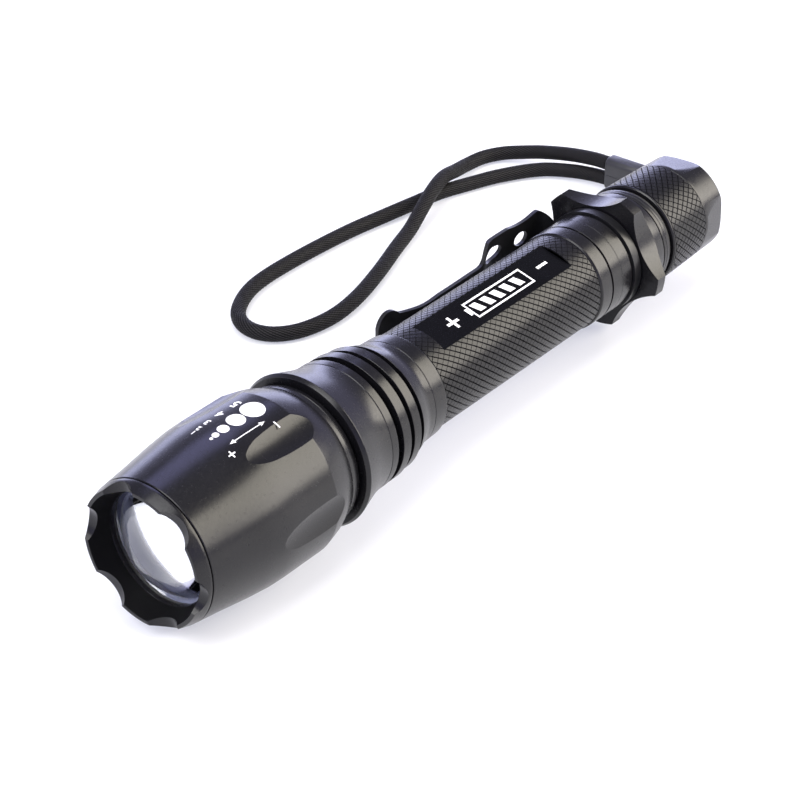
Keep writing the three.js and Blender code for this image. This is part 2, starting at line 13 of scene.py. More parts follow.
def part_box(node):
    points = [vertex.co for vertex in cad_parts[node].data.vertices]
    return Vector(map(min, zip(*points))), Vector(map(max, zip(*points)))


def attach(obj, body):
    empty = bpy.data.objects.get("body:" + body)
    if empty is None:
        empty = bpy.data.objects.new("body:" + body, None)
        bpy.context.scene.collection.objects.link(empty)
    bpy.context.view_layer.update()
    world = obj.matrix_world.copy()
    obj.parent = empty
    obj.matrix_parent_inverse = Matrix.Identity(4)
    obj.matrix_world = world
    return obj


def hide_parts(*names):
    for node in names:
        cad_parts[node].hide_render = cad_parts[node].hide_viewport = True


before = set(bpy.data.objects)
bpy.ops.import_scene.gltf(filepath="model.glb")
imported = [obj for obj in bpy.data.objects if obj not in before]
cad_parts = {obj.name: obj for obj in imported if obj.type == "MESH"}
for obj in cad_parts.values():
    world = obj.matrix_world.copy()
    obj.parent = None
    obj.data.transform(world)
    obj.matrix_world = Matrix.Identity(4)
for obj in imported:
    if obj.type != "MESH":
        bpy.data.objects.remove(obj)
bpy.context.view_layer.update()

MM = 0.001
TAIL_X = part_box("tailcap_shell")[0].x
AXIS_Z = (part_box("head_shell")[0].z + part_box("head_shell")[1].z) / 2
FROM_AXIS = Matrix.Translation((TAIL_X, 0, AXIS_Z)) @ Matrix.Scale(MM, 4)
SIDES = 160                   # sides of the turned pieces
EDGE = 0.12                   # rounding of machined edges

HEAD_RADIUS = 20.1
HEAD_FRONT = [(180.0, HEAD_RADIUS), (184.0, 19.95), (189.8, 19.3)]     # station and radius where it narrows
TUBE_RADIUS = 12.7
KNURL_DEPTH = 0.26
PANEL = {"rear": 63.4, "front": 114.5, "distance": 11.7, "angle": 75.3}
BEZEL_RIM = 207.6
THREAD_PITCH = 1.25


def polar(radius, degrees, middle=(0.0, 0.0)):
    """A flat point from its distance and direction from a middle."""
    turn = math.radians(degrees)
    return middle[0] + radius * math.cos(turn), middle[1] + radius * math.sin(turn)


def placed(station, y, z):
    """A point in metres from its station and its distances from the axis along Y and Z."""
    return Vector((TAIL_X + station * MM, y * MM, AXIS_Z + z * MM))


def at_axis(station, radius, angle):
    """A point in metres from its station, distance from the axis and angle in degrees."""
    return placed(station, *polar(radius, angle))


def add_object(name, data):
    thing = bpy.data.objects.new(name, data)
    bpy.context.collection.objects.link(thing)
    return thing


# ---------- camera and cords ----------
def aimed(place, aim):
    """The transform of a camera or light at one point that looks at another."""
    turn = (Vector(aim) - Vector(place)).to_track_quat("-Z", "Y")
    return Matrix.Translation(place) @ turn.to_matrix().to_4x4()


def add_camera():
    camera = add_object("camera", bpy.data.cameras.new("camera"))
    camera.matrix_world = aimed((0.3752, 0.2848, 0.3040), (0.004144, -0.010488, 0.006192))
    camera.data.lens = 104.4
    camera.data.sensor_width = 36
    camera.data.clip_start = 0.01
    bpy.context.scene.camera = camera


# Middles of the cord and of the string: station, distance to the side, height above the ground.
CORD_ROUTE = [
    (-27.8, -41.9, 2.6), (-27.6, -46.5, 2.4), (-26.0, -53.0, 2.2), (-21.3, -60.8, 2.1), (-10.9, -67.7, 2.1),
    (-0.4, -71.9, 2.1), (8.6, -74.9, 2.1), (19.6, -76.8, 2.1), (30.6, -78.5, 2.1), (41.8, -80.1, 2.1),
    (53.7, -81.0, 2.1), (66.2, -81.4, 2.1), (76.7, -81.1, 2.1), (84.1, -79.9, 2.1), (90.9, -77.2, 2.1),
    (96.3, -73.5, 2.1), (99.4, -68.9, 2.1), (100.0, -63.9, 2.1), (97.8, -59.2, 2.1), (92.2, -55.4, 2.1),
    (82.2, -53.6, 2.1), (70.9, -54.9, 2.1), (57.1, -58.8, 2.1), (41.8, -64.2, 2.1), (32.1, -67.2, 2.6),
    (23.6, -69.8, 4.6), (15.4, -72.3, 6.4), (6.9, -75.1, 6.2), (-2.6, -77.7, 3.9), (-10.4, -79.3, 2.4),
    (-17.3, -78.8, 2.1), (-22.6, -75.5, 2.4), (-25.8, -70.3, 3.1), (-27.5, -64.5, 4.2), (-28.3, -55.4, 5.9),
    (-28.0, -46.8, 7.2), (-27.8, -41.9, 7.4),
]
STRING_ROUTE = [
    (-27.8, -25.7, 3.6), (-27.2, -22.6, 2.8), (-24.6, -19.8, 1.6), (-19.0, -18.1, 0.8), (-8.0, -17.6, 0.8),
    (6.0, -17.8, 0.8), (16.0, -17.2, 2.0), (24.0, -16.0, 5.6), (30.0, -14.9, 10.2), (34.0, -14.3, 12.2),
    (37.5, -14.3, 12.4), (40.8, -14.4, 12.4), (41.5, -15.2, 11.8), (41.6, -16.8, 10.9), (40.8, -18.1, 10.3),
    (37.5, -18.2, 10.2), (33.5, -18.4, 8.6), (27.5, -19.0, 5.2), (20.5, -19.7, 2.2), (12.0, -20.2, 0.8),
    (0.0, -20.4, 0.8), (-12.0, -20.6, 0.8), (-20.6, -21.2, 1.6), (-25.6, -22.6, 3.6), (-27.8, -25.7, 6.0),
]
CORD = {"diameter": 4.1, "carriers": 9, "pick": 1.35, "relief": 0.2, "sides": 36, "step": 0.3}
STRING = {"diameter": 1.2, "carriers": 5, "pick": 0.9, "relief": 0.05, "sides": 16, "step": 0.3}
SLEEVE = {"station": -27.8, "mouth": -41.6, "rear": -26.0, "exit_height": 5.0}     # mouth and rear along Y


def smooth_line(route, step):
    """Points a small step apart on one smooth curve through the route, in millimetres above the ground."""
    points = [Vector(p) for p in route]
    count = 24
    dense = []
    for i in range(len(points) - 1):
        before = points[i - 1] if i else 2 * points[0] - points[1]
        after = points[i + 2] if i + 2 < len(points) else 2 * points[-1] - points[-2]
        start, end = points[i], points[i + 1]
        lean_start = (end - before) / ((end - start).length + (start - before).length) * (end - start).length
        lean_end = (after - start) / ((after - end).length + (end - start).length) * (end - start).length
        for k in range(count):
            t = k / count
            dense.append(start * (2 * t**3 - 3 * t**2 + 1) + lean_start * (t**3 - 2 * t**2 + t)
                         + end * (3 * t**2 - 2 * t**3) + lean_end * (t**3 - t**2))
    dense.append(points[-1])
    reach = [0.0]
    for a, b in zip(dense, dense[1:]):
        reach.append(reach[-1] + (b - a).length)
    steps = round(reach[-1] / step)
    line, at = [], 0
    for i in range(steps + 1):
        want = reach[-1] * i / steps
        while at < len(reach) - 2 and reach[at + 1] < want:
            at += 1
        share = (want - reach[at]) / max(reach[at + 1] - reach[at], 1e-9)
        line.append(dense[at].lerp(dense[at + 1], share))
    return line, reach[-1]


def braid_height(turn, along, form):
    """Height of a two-over, two-under braid, from 0 in its valleys to 1 on its strands."""
    p = turn * form["carriers"] + along / form["pick"] / 2
    q = turn * form["carriers"] - along / form["pick"] / 2
    over = (math.floor(p * 2) + math.floor(q * 2)) % 4 < 2
    across, run = ((p * 2) % 1, (q * 2) % 1) if over else ((q * 2) % 1, (p * 2) % 1)
    return math.sqrt(max(0.0, 1 - (2 * across - 1) ** 2)) * (0.75 + 0.25 * math.sin(math.pi * run))


def braided_cord(name, node, route, form, material, **declared):
    """A round braided cord: a tube with raised strands, whose UVs run round it and along it."""
    line, length = smooth_line(route, form["step"])
    sides, radius = form["sides"], form["diameter"] / 2
    bm = bmesh.new()
    uv = bm.loops.layers.uv.new("braid")
    # painted shade: a layer that the braid material reads to darken the valleys between strands
    painted_braid_shade = bm.verts.layers.float.new("height")
    rings = []
    side = Vector((0, 0, 1)).cross(line[1] - line[0]).normalized()
    for i, centre in enumerate(line):
        ahead = (line[min(i + 1, len(line) - 1)] - line[max(i - 1, 0)]).normalized()
        side = (side - ahead * side.dot(ahead)).normalized()
        up = ahead.cross(side)
        along = length * i / (len(line) - 1)
        ring = []
        for k in range(sides):
            turn = k / sides
            height = braid_height(turn, along, form)
            r = radius - form["relief"] * (1 - height)
            offset = side * math.cos(2 * math.pi * turn) + up * math.sin(2 * math.pi * turn)
            p = centre + offset * r
            ring.append(bm.verts.new((TAIL_X + p.x * MM, p.y * MM, p.z * MM)))
            # painted shade: height**4 is stored so that the valleys come out near black and the strand tops
            # lighter
            ring[-1][painted_braid_shade] = height**4
        rings.append((ring, along))
    for (a, start), (b, end) in zip(rings, rings[1:]):
        for k in range(sides):
            face = bm.faces.new((a[k], a[(k + 1) % sides], b[(k + 1) % sides], b[k]))
            corners = ((k, start), (k + 1, start), (k + 1, end), (k, end))
            for loop, (turn, along) in zip(face.loops, corners):
                loop[uv].uv = (turn / sides, along / form["pick"] / form["carriers"])
    bm.faces.new(list(reversed(rings[0][0])))
    bm.faces.new(rings[-1][0])
    cord = finished(name, bm, angle=60)
    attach(cord, "torch_body")
    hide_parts(node)
    cord.data.materials.append(material)


# ---------- mesh helpers ----------
def finished(name, bm, angle=32):
    """An object from a bmesh in metres: faces outwards, smooth up to the given angle."""
    bmesh.ops.recalc_face_normals(bm, faces=bm.faces)
    mesh = bpy.data.meshes.new(name)
    bm.to_mesh(mesh)
    bm.free()
    piece = add_object(name, mesh)
    smooth(piece, angle)
    return piece


def skin(bm, a, b):
    """Faces between two rings that have the same number of points."""
    for k in range(len(a)):
        after = (k + 1) % len(a)
        bm.faces.new((a[k], a[after], b[after], b[k]))


def smooth(piece, angle):
    piece.data.polygons.foreach_set("use_smooth", [True] * len(piece.data.polygons))
    piece.data.set_sharp_from_angle(angle=math.radians(angle))
    piece.data.update()


def even_shading(piece):
    modifier = piece.modifiers.new("even_shading", "WEIGHTED_NORMAL")
    modifier.keep_sharp = True
    modifier.weight = 80


def rounded(profile, radius=EDGE, closed=True):
    """The profile with each corner of more than 12 degrees turned into a short curve."""
    points = [Vector(p) for p in profile]
    count = len(points)
    result = []
    for i, p in enumerate(points):
        if not closed and i in (0, count - 1):
            result.append(p)
            continue
        before, after = points[i - 1] - p, points[(i + 1) % count] - p
        if math.pi - before.angle(after, math.pi) < math.radians(12):
            result.append(p)
            continue
        cut = min(radius, 0.35 * before.length, 0.35 * after.length)
        start, end = p + before.normalized() * cut, p + after.normalized() * cut
        for t in (0, 1 / 3, 2 / 3, 1):
            result.append(start * (1 - t) ** 2 + p * 2 * t * (1 - t) + end * t**2)
    return [tuple(p) for p in result]


def turned(name, profile, sides=SIDES, angle=32, edge=EDGE, at=(0.0, 0.0), even=True):
    """Turns a profile of (station, radius) about the axis, or about a parallel one at a given (y, z)."""
    on_axis = profile[0][1] == 0
    profile = rounded(profile, edge, closed=not on_axis) if edge else profile
    bm = bmesh.new()
    rings = []
    for station, radius in profile:
        if radius < 1e-6:
            rings.append([bm.verts.new(at_axis(station, 0, 0))])
            continue
        rings.append([bm.verts.new(at_axis(station, radius, 360 * k / sides)) for k in range(sides)])
    pairs = list(zip(rings, rings[1:]))
    if not on_axis:
        pairs.append((rings[-1], rings[0]))
    for a, b in pairs:
        for k in range(sides):
            corners = [a[k % len(a)], b[k % len(b)], b[(k + 1) % sides % len(b)], a[(k + 1) % sides % len(a)]]
            bm.faces.new(list(dict.fromkeys(corners)))
    bmesh.ops.translate(bm, verts=bm.verts, vec=(0, at[0] * MM, at[1] * MM))
    piece = finished(name, bm, angle)
    if even:
        even_shading(piece)
    return piece


def prism(name, start, end):
    """A closed piece between two like outlines of (station, y, z)."""
    bm = bmesh.new()
    start, end = [[bm.verts.new(placed(*point)) for point in outline] for outline in (start, end)]
    bm.faces.new(start)
    bm.faces.new(end)
    for k in range(len(start)):
        after = (k + 1) % len(start)
        bm.faces.new((start[k], end[k], end[after], start[after]))
    return finished(name, bm, 30)


def extruded(name, outline, rear, front):
    """A closed outline of (y, z) given thickness along the axis."""
    return prism(name, [(rear, y, z) for y, z in outline], [(front, y, z) for y, z in outline])


def clip_cutter(outline):
    """A closed outline of (station, z) given depth along Y, through the side where the clip is."""
    outer, inner = -26, -8
    return prism("cutter", [(s, outer, z) for s, z in outline], [(s, inner, z) for s, z in outline])


def block(centre, size, turns=()):
    """A box round a centre (station, y, z), then turned and moved by steps of (degrees, axis, shift)."""
    bm = bmesh.new()
    bmesh.ops.create_cube(bm, size=1.0)
    matrix = Matrix.Translation(centre) @ Matrix.Diagonal((*size, 1))
    for degrees, letter, shift in turns:
        matrix = Matrix.Translation(shift) @ Matrix.Rotation(math.radians(degrees), 4, letter) @ matrix
    bmesh.ops.transform(bm, matrix=FROM_AXIS @ matrix, verts=bm.verts)
    return finished("cutter", bm)


def applied(piece):
    """The mesh of a piece with its modifiers applied, or the filled mesh of a text."""
    return bpy.data.meshes.new_from_object(piece.evaluated_get(bpy.context.evaluated_depsgraph_get()))


def drill(rear, front, sides, at):
    """A cutter for a hole along the axis, centred on a point (y, z)."""
    radius = 1.1
    profile = [(rear, 0), (rear, radius), (front, radius), (front, 0)]
    return turned("cutter", profile, sides, edge=0, at=at, even=False)


def combine(body, tool, operation="DIFFERENCE", angle=32):
    """Cuts, joins or intersects the body with the tool, and drops the tool."""
    kept = [m.name for m in body.modifiers]
    body.modifiers.clear()
    modifier = body.modifiers.new("boolean", "BOOLEAN")
    modifier.object = tool
    modifier.operation = operation
    modifier.solver = "EXACT"
    mesh = applied(body)
    body.modifiers.clear()
    mesh.name = body.name
    body.data = mesh
    bpy.data.objects.remove(tool)
    smooth(body, angle)
    if kept:
        even_shading(body)


def joined(name, pieces):
    """One object from several, which share its material and body."""
    bm = bmesh.new()
    for piece in pieces:
        bm.from_mesh(applied(piece))
        bpy.data.objects.remove(piece)
    mesh = bpy.data.meshes.new(name)
    bm.to_mesh(mesh)
    bm.free()
    return add_object(name, mesh)


def bevelled(piece, width, angle):
    modifier = piece.modifiers.new("edges", "BEVEL")
    modifier.width = width * MM
    modifier.segments = 2
    modifier.limit_method = "ANGLE"
    modifier.angle_limit = math.radians(angle)
    modifier.harden_normals = True


def knurl_band(name, rear, front, radius_at, around, rows, inner, grooves):
    """Diamond knurling: lozenges between two sets of helical grooves of given widths, on a closed band."""
    step = (front - rear) / rows
    pitch = 360 / around
    bm = bmesh.new()

    def circle_of_points(station, radius, row):
        """One point a lozenge, half a lozenge further round on each second row."""
        return [bm.verts.new(at_axis(station, radius, (i + 0.5 * (row % 2)) * pitch)) for i in range(around)]

    stations = [rear + k * step for k in range(rows + 1)]
    roots = [circle_of_points(s, radius_at(s) - KNURL_DEPTH, k) for k, s in enumerate(stations)]
    linings = [circle_of_points(rear, inner, 0), circle_of_points(front, inner, rows)]
    half_width = math.radians(pitch) / 2 * radius_at((rear + front) / 2)
    slant = math.hypot(half_width, step)
    first, second = [half_width * step / slant - groove / 2 for groove in grooves]
    mean = (first + second) * slant / (half_width * step) / 2
    skew = (first - second) * slant / (half_width * step) / 2

    def corner(station, middle, across, along):
        """A lozenge's corner, from shares of half its width and of half its length."""
        station += step * along
        return bm.verts.new(at_axis(station, radius_at(station), middle + pitch / 2 * across))

    for k, station in enumerate(stations):
        tilt = 0 if k in (0, rows) else skew
        for i in range(around):
            middle = (i + 0.5 * (k % 2) + 0.5) * pitch
            left_root, right_root = roots[k][i], roots[k][(i + 1) % around]
            left, right = corner(station, middle, -mean, tilt), corner(station, middle, mean, -tilt)
            top = [left]
            if k < rows:
                tip_root = roots[k + 1][(i + k % 2) % around]
                tip = corner(station, middle, -tilt, mean)
                bm.faces.new((left_root, tip_root, tip, left))
                bm.faces.new((tip_root, right_root, right, tip))
                top.append(tip)
            top.append(right)
            if k > 0:
                tip_root = roots[k - 1][(i + k % 2) % around]
                tip = corner(station, middle, tilt, -mean)
                bm.faces.new((right_root, tip_root, tip, right))
                bm.faces.new((tip_root, left_root, left, tip))
                top.append(tip)
            bm.faces.new(top)
            if k in (0, rows):
                lining = linings[0 if k == 0 else 1]
                bm.faces.new((left_root, left, right, right_root, lining[(i + 1) % around], lining[i]))
    skin(bm, *linings)
    return finished(name, bm, angle=1)


def round_tops(piece, rear, front, radius_at):
    """Shades the tops of knurling as the cylinder that they were cut from, and leaves all else as it is."""
    mesh = piece.data
    mesh.update()
    normals = [corner.vector.copy() for corner in mesh.corner_normals]
    for face in mesh.polygons:
        station = (face.center.x - TAIL_X) / MM
        if not rear <= station <= front:
            continue
        outward = Vector((0, face.center.y, face.center.z - AXIS_Z))
        if outward.length / MM < radius_at(station) - 0.06 or face.normal.dot(outward.normalized()) < 0.98:
            continue
        for loop in face.loop_indices:
            point = mesh.vertices[mesh.loops[loop].vertex_index].co
            normals[loop] = Vector((0, point.y, point.z - AXIS_Z)).normalized()
    mesh.normals_split_custom_set(normals)


def paint(piece, material, chosen):
    """Gives a second material to the faces whose station, distance from the axis and normal are chosen."""
    piece.data.materials.append(material)
    index = len(piece.data.materials) - 1
    for face in piece.data.polygons:
        station = (face.center.x - TAIL_X) / MM
        distance = math.hypot(face.center.y, face.center.z - AXIS_Z) / MM
        if chosen(station, distance, face.normal):
            face.material_index = index


def thread(name, rear, front, root, crest, sides=96):
    """An outside thread on a closed sleeve, which fades out at both ends."""
    row_step, run_out, flank, wall = 0.16, 0.8, 2.6, 0.6
    bm = bmesh.new()
    rows = round((front - rear) / row_step)
    rings = []
    for k in range(rows + 1):
        station = rear + (front - rear) * k / rows
        fade = min(1.0, (station - rear) / run_out, (front - station) / run_out)
        ring = []
        for i in range(sides):
            phase = (station / THREAD_PITCH + i / sides) % 1
            height = max(0.0, min(1.0, flank * (0.5 - abs(phase - 0.5))))
            radius = root + (crest - root) * height * fade
            ring.append(bm.verts.new(at_axis(station, radius, 360 * i / sides)))
        rings.append(ring)
    for station in (front, rear):
        rings.append([bm.verts.new(at_axis(station, root - wall, 360 * i / sides)) for i in range(sides)])
    for a, b in zip(rings, rings[1:] + rings[:1]):
        skin(bm, a, b)
    return finished(name, bm, angle=50)


# ---------- materials ----------
class Finish:
    """A Principled material with helpers for the nodes that feed it."""

    def __init__(self, name, color, roughness, **sockets):
        self.material = bpy.data.materials.new(name)
        self.material.use_nodes = True
        self.tree = self.material.node_tree
        self.shader = self.tree.nodes["Principled BSDF"]
        self.shader.inputs["Base Color"].default_value = (*color, 1)
        self.shader.inputs["Roughness"].default_value = roughness
        for socket, value in sockets.items():
            self.shader.inputs[socket.replace("_", " ")].default_value = value
        self.bumps = None

    def node(self, kind, **values):
        """A node whose values are given by the names of its sockets or of its own settings."""
        node = self.tree.nodes.new(kind)
        for key, value in values.items():
            socket = key.replace("_", " ")
            if socket in node.inputs:
                node.inputs[socket].default_value = value
            else:
                setattr(node, key, value)
        return node

    def link(self, start, end):
        self.tree.links.new(start, end)

    def scaled_noise(self, vector, scales, detail):
        mapping = self.node("ShaderNodeMapping", Scale=scales)
        noise = self.node("ShaderNodeTexNoise", Scale=1.0, Detail=detail)
        self.link(vector, mapping.inputs["Vector"])
        self.link(mapping.outputs["Vector"], noise.inputs["Vector"])
        return noise.outputs["Fac"]

    def noise(self, scale, detail, stretch=(1, 1, 1)):
        """Noise whose grains are about 1/scale metres, drawn out where stretch is below 1."""
        source = self.node("ShaderNodeTexCoord")
        return self.scaled_noise(source.outputs["Object"], [scale * s for s in stretch], detail)

    def spread(self, value, low, high):
        """The value from 0.3 to 0.7 spread from low to high."""
        ramp = self.node("ShaderNodeMapRange", From_Min=0.3, From_Max=0.7, To_Min=low, To_Max=high)
        self.link(value, ramp.inputs["Value"])
        return ramp.outputs["Result"]

    def color(self, value, low, high):
        """Varies the colour with the value. The colours of a mix node are its sockets 6 and 7."""
        mix = self.node("ShaderNodeMix", data_type="RGBA")
        mix.inputs[6].default_value = (*low, 1)
        mix.inputs[7].default_value = (*high, 1)
        self.link(self.spread(value, 0, 1), mix.inputs[0])
        self.link(mix.outputs[2], self.shader.inputs["Base Color"])

    def rough(self, value, low, high):
        self.link(self.spread(value, low, high), self.shader.inputs["Roughness"])

    def bump(self, value, distance):
        """Adds relief of a given height in millimetres on top of any before it."""
        bump = self.node("ShaderNodeBump", Strength=1.0, Distance=distance * MM)
        self.link(value, bump.inputs["Height"])
        if self.bumps:
            self.link(self.bumps, bump.inputs["Normal"])
        self.bumps = bump.outputs["Normal"]
        self.link(self.bumps, self.shader.inputs["Normal"])


def anodised(name="black_anodised", color=(0.005, 0.0048, 0.006), roughness=0.24, turning=0.0008, ior=1.38):
    """Satin hard anodising: fine blasted grain over faint lathe lines that run round the axis."""
    finish = Finish(name, color, roughness, IOR=ior)
    finish.color(finish.noise(90, 3), [0.8 * c for c in color], [1.25 * c for c in color])
    finish.rough(finish.noise(1500, 6), roughness - 0.03, roughness + 0.04)
    if turning:
        finish.bump(finish.noise(5000, 2, (1, 0.02, 0.02)), turning)
    finish.bump(finish.noise(6000, 3), 0.002)
    return finish.material


def black_steel():
    finish = Finish("black_oxide_steel", (0.005, 0.005, 0.006), 0.34, IOR=1.4)
    finish.color(finish.noise(260, 4), (0.005, 0.005, 0.006), (0.008, 0.008, 0.0095))
    finish.rough(finish.noise(500, 5), 0.28, 0.42)
    finish.bump(finish.noise(5000, 3), 0.0015)
    return finish.material


def rubber():
    finish = Finish("black_rubber", (0.012, 0.012, 0.013), 0.62, IOR=1.5)
    finish.color(finish.noise(400, 4), (0.009, 0.009, 0.010), (0.018, 0.018, 0.019))
    finish.rough(finish.noise(1500, 4), 0.5, 0.72)
    finish.bump(finish.noise(5000, 3), 0.01)
    return finish.material


def greased_rubber():
    finish = Finish("greased_rubber", (0.012, 0.013, 0.018), 0.25, IOR=1.6, Coat_Weight=0.4,
                    Coat_Roughness=0.08)
    finish.rough(finish.noise(500, 4), 0.16, 0.42)
    finish.bump(finish.noise(700, 3), 0.03)
    return finish.material


def plastic(name, color, roughness, grain=0.006):
    finish = Finish(name, color, roughness, IOR=1.48)
    finish.color(finish.noise(300, 4), [0.85 * c for c in color], [min(1.0, 1.12 * c) for c in color])
    finish.rough(finish.noise(1200, 4), roughness - 0.06, roughness + 0.08)
    finish.bump(finish.noise(6000, 3), grain)
    return finish.material


def metal(name, color, roughness, stretch=(1, 0.03, 0.03)):
    finish = Finish(name, color, roughness, Metallic=1.0)
    finish.color(finish.noise(250, 4), [0.85 * c for c in color], [min(1.0, 1.08 * c) for c in color])
    finish.rough(finish.noise(3000, 3, stretch), roughness - 0.08, roughness + 0.1)
    finish.bump(finish.noise(5000, 2, stretch), 0.004)
    return finish.material


def lens_plastic():
    return Finish("clear_lens", (0.97, 0.985, 1.0), 0.0, IOR=1.49, Transmission_Weight=1.0).material


def emitter_glow():
    finish = Finish("emitter_phosphor", (0.93, 0.74, 0.18), 0.25, Coat_Weight=0.6, Coat_Roughness=0.03)
    finish.color(finish.noise(1500, 3), (0.9, 0.7, 0.14), (0.96, 0.8, 0.26))
    finish.bump(finish.noise(2500, 3), 0.01)
    return finish.material


def circuit_board():
    finish = Finish("green_board", (0.02, 0.14, 0.06), 0.4)
    finish.color(finish.noise(900, 1), (0.015, 0.11, 0.045), (0.035, 0.2, 0.09))
    finish.rough(finish.noise(1200, 2), 0.3, 0.5)
    finish.bump(finish.noise(1100, 1), 0.02)
    return finish.material


def braid(name, form):
    """Woven yarn with fine fibres. Its colour is painted shade: near black in the valleys between strands,
    lighter on the strand middles.
    """
    finish = Finish(name, (0.005, 0.005, 0.006), 0.5, IOR=1.18)
    source = finish.node("ShaderNodeUVMap", uv_map="braid")
    count = form["carriers"] * 16
    fibres = finish.scaled_noise(source.outputs["UV"], (count, count, 1), 3)
    strands = finish.node("ShaderNodeAttribute", attribute_name="height")
    # painted shade: the stored strand height darkens the valleys and lightens the strand tops
    finish.color(strands.outputs["Fac"], (0.0008, 0.0008, 0.001), (0.026, 0.025, 0.027))
    finish.rough(finish.noise(900, 3), 0.45, 0.7)
    finish.bump(fibres, 0.05)
    return finish.material


def white_print():
    finish = Finish("white_print", (0.82, 0.83, 0.84), 0.5)
    finish.color(finish.noise(1800, 4), (0.7, 0.71, 0.72), (0.88, 0.88, 0.89))
    finish.bump(finish.noise(4000, 3), 0.01)
    return finish.material


BLACK_ALUMINIUM = anodised()
KNURL_BLACK = anodised("knurl_anodising", roughness=0.3, turning=0, ior=1.34)
# anodising of the label flat, painted darker and duller than the body: painted shade for the dark reflection
# the flat shows
PANEL_PAINTED_SHADE = anodised("panel_anodising_painted_shade", (0.003, 0.003, 0.004), 0.26, turning=0, ior=1.15)
# painted reflection: a pale blue-lavender inside the head's bore that stands in for the light seen through
# the lens
BORE_PAINTED_REFLECTION = plastic("bore_painted_reflection", (0.16, 0.17, 0.26), 0.5, grain=0)
# black anodising, painted darker and duller than the outside: painted shade for the recess of the bezel's
# inner cone
BORE_PAINTED_SHADE = anodised("bore_anodising_painted_shade", (0.002, 0.002, 0.0025), 0.6, ior=1.15)
CLIP_STEEL = black_steel()
RUBBER = rubber()
GREASED = greased_rubber()
SLEEVE_PLASTIC = plastic("sleeve_plastic", (0.022, 0.022, 0.026), 0.38)
BLACK_PLASTIC = plastic("black_plastic", (0.015, 0.015, 0.017), 0.45)
WHITE_PLASTIC = plastic("white_plastic", (0.78, 0.78, 0.74), 0.45)
RED_PLASTIC = plastic("red_insulation", (0.5, 0.03, 0.02), 0.45)
CELL_WRAP = plastic("blue_wrap", (0.03, 0.12, 0.42), 0.22, grain=0.002)
ALUMINIUM = metal("turned_aluminium", (0.75, 0.76, 0.77), 0.32)
BRASS = metal("turned_brass", (0.78, 0.58, 0.24), 0.3)
SPRING_STEEL = metal("spring_steel", (0.6, 0.61, 0.63), 0.25, (1, 1, 1))
GREEN_BOARD = circuit_board()
LENS_CLEAR = lens_plastic()
PHOSPHOR = emitter_glow()
CORD_BRAID = braid("cord_braid", CORD)
STRING_BRAID = braid("string_braid", STRING)
PRINT = white_print()


def dress(piece, material, slot, body, *nodes):
    """Gives a piece its finish and body, and hides the CAD nodes that it stands for."""
    piece.data.materials.clear()
    piece.data.materials.append(material)
    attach(piece, body)
    if nodes:
        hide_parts(*nodes)
    return piece


def anodise(piece, body, node):
    """The finish of the turned outer parts."""
    return dress(piece, BLACK_ALUMINIUM, "black_anodised", body, node)


# ---------- grip tube ----------
def panel_box(lowered):
    """What is milled away above the label flat, or above a plane a little below it."""
    depth = 6
    rear, front = PANEL["rear"], PANEL["front"]
    return block(((front + rear) / 2, PANEL["distance"] - lowered + depth / 2, 0),
                 (front - rear, depth, 3 * TUBE_RADIUS), [(PANEL["angle"], "X", (0, 0, 0))])


def body_tube():
    collar, core_radius = 13.1, 12.35
    core = turned("core", [
        (17.8, 9.7), (17.8, 11.0), (25.6, 11.0), (25.6, 11.3), (27.2, 11.3), (27.2, 11.6), (40.7, 11.6),
        (40.7, 12.2), (44.0, 12.2), (44.0, collar), (48.0, collar), (48.1, 13.04), (48.2, collar),
        (52.1, collar), (52.1, 12.5), (52.7, 12.5), (52.7, collar), (56.7, collar), (57.1, 12.9),
        (57.3, core_radius), (119.8, core_radius), (119.8, 11.2), (121.6, 11.2), (121.6, 10.4),
        (123.4, 10.4), (123.4, 11.2), (130.5, 11.2), (130.5, 9.7),
    ])
    combine(core, panel_box(0.1), angle=15)
    rear, front = 57.35, 119.75
    grip = knurl_band("grip", rear, front, lambda s: TUBE_RADIUS, 44, 56, 11.4, (0.34, 0.13))
    combine(grip, panel_box(0.0), angle=1)
    tube = joined("grip_tube", [core, grip, thread("thread", 18.4, 25.2, 10.95, 11.32)])
    anodise(tube, "torch_body", "body_tube")
    outward = Vector((0, *polar(1, PANEL["angle"])))
    paint(tube, KNURL_BLACK, lambda s, r, n: rear < s < front and r > core_radius + 0.01)
    # painted shade: the label flat gets the darker, duller copy of the anodising
    paint(tube, PANEL_PAINTED_SHADE,
          lambda s, r, n: PANEL["rear"] < s < PANEL["front"] and n.dot(outward) > 0.9999)
    round_tops(tube, rear, front, lambda s: TUBE_RADIUS)


def neck():
    profile = [(120.1, 12.9), (120.5, 13.3), (124.7, 13.48), (124.8, 13.36), (124.95, 13.5), (126.6, 13.62),
               (127.6, 13.8), (128.6, 14.15), (129.6, 14.6), (131.3, 15.1)]
    groove_floor = 13.5
    for rear, front, radius in ((131.3, 133.1, 15.85), (135.6, 137.3, 16.3), (140.0, 142.0, 16.4)):
        if profile[-1][0] < rear:
            profile.append((rear, profile[-1][1]))
        profile += [(rear, groove_floor), (front, groove_floor), (front, radius)]
    profile += [(144.1, 16.4), (144.2, 16.25), (144.35, 16.4), (145.6, 16.5), (147.5, 16.8), (149.5, 17.3),
                (151.4, 17.9), (153.4, 18.5), (155.0, 19.0), (155.9, 18.4), (155.9, 12.9), (148.0, 12.9),
                (148.0, 9.7), (131.0, 9.7), (131.0, 11.6), (120.1, 11.6)]
    fins = turned("finned_neck", profile, edge=0.16)
    anodise(fins, "torch_body", "neck")


# ---------- head ----------
def ellipsoid(halves, centre, angle):
    bm = bmesh.new()
    bmesh.ops.create_uvsphere(bm, u_segments=96, v_segments=64, radius=1.0)
    matrix = FROM_AXIS @ Matrix.Rotation(math.radians(angle), 4, "X") @ Matrix.Translation(centre)
    bmesh.ops.transform(bm, matrix=matrix @ Matrix.Diagonal((*halves, 1)), verts=bm.verts)
    return finished("cutter", bm, 60)


